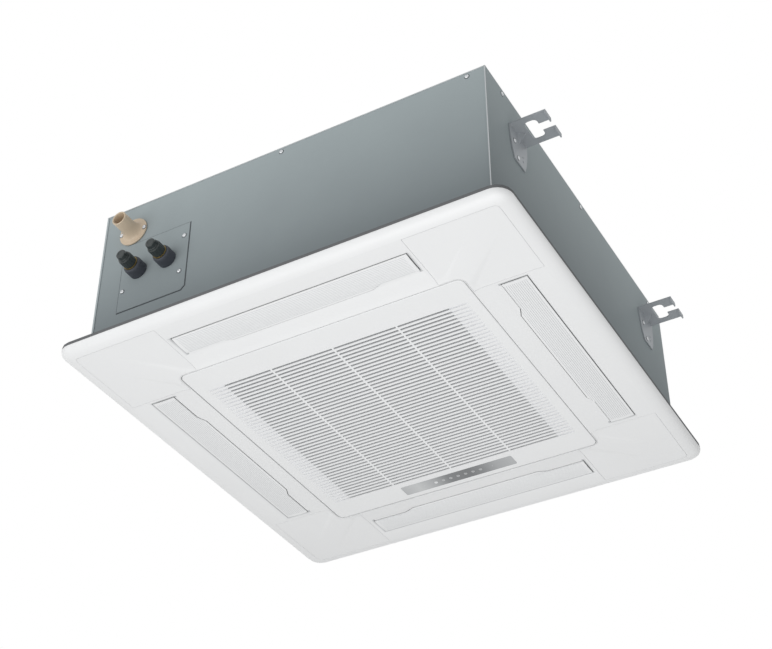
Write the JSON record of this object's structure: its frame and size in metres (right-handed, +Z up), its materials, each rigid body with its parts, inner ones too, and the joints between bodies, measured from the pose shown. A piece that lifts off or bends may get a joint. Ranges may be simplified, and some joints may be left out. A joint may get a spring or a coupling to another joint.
{
  "type": "ceiling cassette air conditioner",
  "caption": "Ceiling cassette air conditioner: grey sheet casing with slotted hanger brackets over a square white panel with edge louvers and a slatted intake grille.",
  "frame": {"origin": "centre of the unit on the ceiling plane, which is the upper face of the panel's foam gasket", "axes": "+Z up into the ceiling void, -Y towards the pipe and drain connections, +X to the right when looking along +Y; the display strip is on the +Y edge of the grille"},
  "size_m": [1.008, 0.9643, 0.3701],
  "materials": {
    "white_plastic": "satin moulded",
    "grey_sheet": "satin pre-painted sheet",
    "zinc": "galvanised",
    "dark_foam": "closed-cell foam",
    "pale_foam": "expanded foam",
    "black_plastic": "moulded",
    "slate_rubber": "smooth",
    "brass": "machined",
    "copper": "drawn copper tube",
    "aluminium": "finned",
    "cream_plastic": "moulded",
    "grey_plastic": "moulded",
    "mirror_strip": "glossy silver grey",
    "steel": "turned",
    "board_green": "circuit board"
  },
  "bodies": {
    "casing": {"top_plate": "grey_sheet", "side_panel_right": "grey_sheet", "side_panel_left": "grey_sheet", "side_panel_rear": "grey_sheet", "side_panel_pipe": "grey_sheet", "insulation_liner": "pale_foam", "hanger_bracket_right_front": "zinc", "hanger_bracket_right_rear": "zinc", "hanger_bracket_left_front": "zinc", "hanger_bracket_left_rear": "zinc", "pipe_cover_plate": "grey_sheet", "liquid_pipe_sleeve": "slate_rubber", "gas_pipe_sleeve": "slate_rubber", "liquid_flare_nut": "brass", "gas_flare_nut": "brass", "liquid_pipe_cap": "black_plastic", "gas_pipe_cap": "black_plastic", "drain_spigot": "cream_plastic", "heat_exchanger": "aluminium", "coil_end_plate_front": "zinc", "coil_end_plate_left": "zinc", "coil_partition": "zinc", "gas_pipe": "copper", "liquid_pipe": "copper", "fan_motor": "zinc", "motor_bracket": "zinc", "bell_mouth": "grey_plastic", "control_box": "zinc", "control_box_cover": "zinc", "drain_pan": "pale_foam", "drain_pump": "black_plastic", "pump_hose": "slate_rubber", "float_stem": "cream_plastic", "panel_frame": "white_plastic", "panel_gasket": "dark_foam", "corner_cover_right_rear": "white_plastic", "corner_cover_left_rear": "white_plastic", "corner_cover_left_front": "white_plastic", "corner_cover_right_front": "white_plastic", "louver_motor_right": "black_plastic", "louver_motor_rear": "black_plastic", "louver_motor_left": "black_plastic", "louver_motor_pipe": "black_plastic", "grille_catch_left": "grey_plastic", "grille_catch_right": "grey_plastic"},
    "grille": {"intake_grille": "white_plastic", "air_filter": "grey_plastic", "display_strip": "mirror_strip", "display_board": "board_green"},
    "button": {"manual_button": "mirror_strip"},
    "fan": {"fan_impeller": "grey_plastic", "motor_shaft": "steel", "fan_nut": "steel"},
    "pump_wheel": {"pump_impeller": "cream_plastic"},
    "float_body": {"float": "cream_plastic"},
    "louver_right_body": {"louver_right": "white_plastic"},
    "louver_rear_body": {"louver_rear": "white_plastic"},
    "louver_left_body": {"louver_left": "white_plastic"},
    "louver_pipe_body": {"louver_pipe": "white_plastic"}
  },
  "joints": [
    {"name": "grille_hinge", "type": "hinge", "parent": "casing", "child": "grille", "pos_m": [0, 0.2905, -0.019], "axis": [1, 0, 0], "range_deg": [0, 85]},
    {"name": "louver_right_tilt", "type": "hinge", "parent": "casing", "child": "louver_right_body", "pos_m": [0.372, 0, -0.0092], "axis": [0, 1, 0], "range_deg": [0, 65]},
    {"name": "louver_rear_tilt", "type": "hinge", "parent": "casing", "child": "louver_rear_body", "pos_m": [0, 0.372, -0.0092], "axis": [-1, 0, 0], "range_deg": [0, 65]},
    {"name": "louver_left_tilt", "type": "hinge", "parent": "casing", "child": "louver_left_body", "pos_m": [-0.372, 0, -0.0092], "axis": [0, -1, 0], "range_deg": [0, 65]},
    {"name": "louver_pipe_tilt", "type": "hinge", "parent": "casing", "child": "louver_pipe_body", "pos_m": [0, -0.372, -0.0092], "axis": [1, 0, 0], "range_deg": [0, 65]},
    {"name": "fan_spin", "type": "hinge", "parent": "casing", "child": "fan", "pos_m": [0, 0, 0.2], "axis": [0, 0, 1], "continuous": true},
    {"name": "button_press", "type": "slide", "parent": "grille", "child": "button", "axis": [0, 0, 1], "range_m": [0, 0.001], "stiffness_N_per_m": 500},
    {"name": "pump_spin", "type": "hinge", "parent": "casing", "child": "pump_wheel", "pos_m": [-0.357, -0.372, 0.05], "axis": [0, 0, 1], "continuous": true},
    {"name": "float_lift", "type": "slide", "parent": "casing", "child": "float_body", "axis": [0, 0, 1], "range_m": [0, 0.011]}
  ]
}
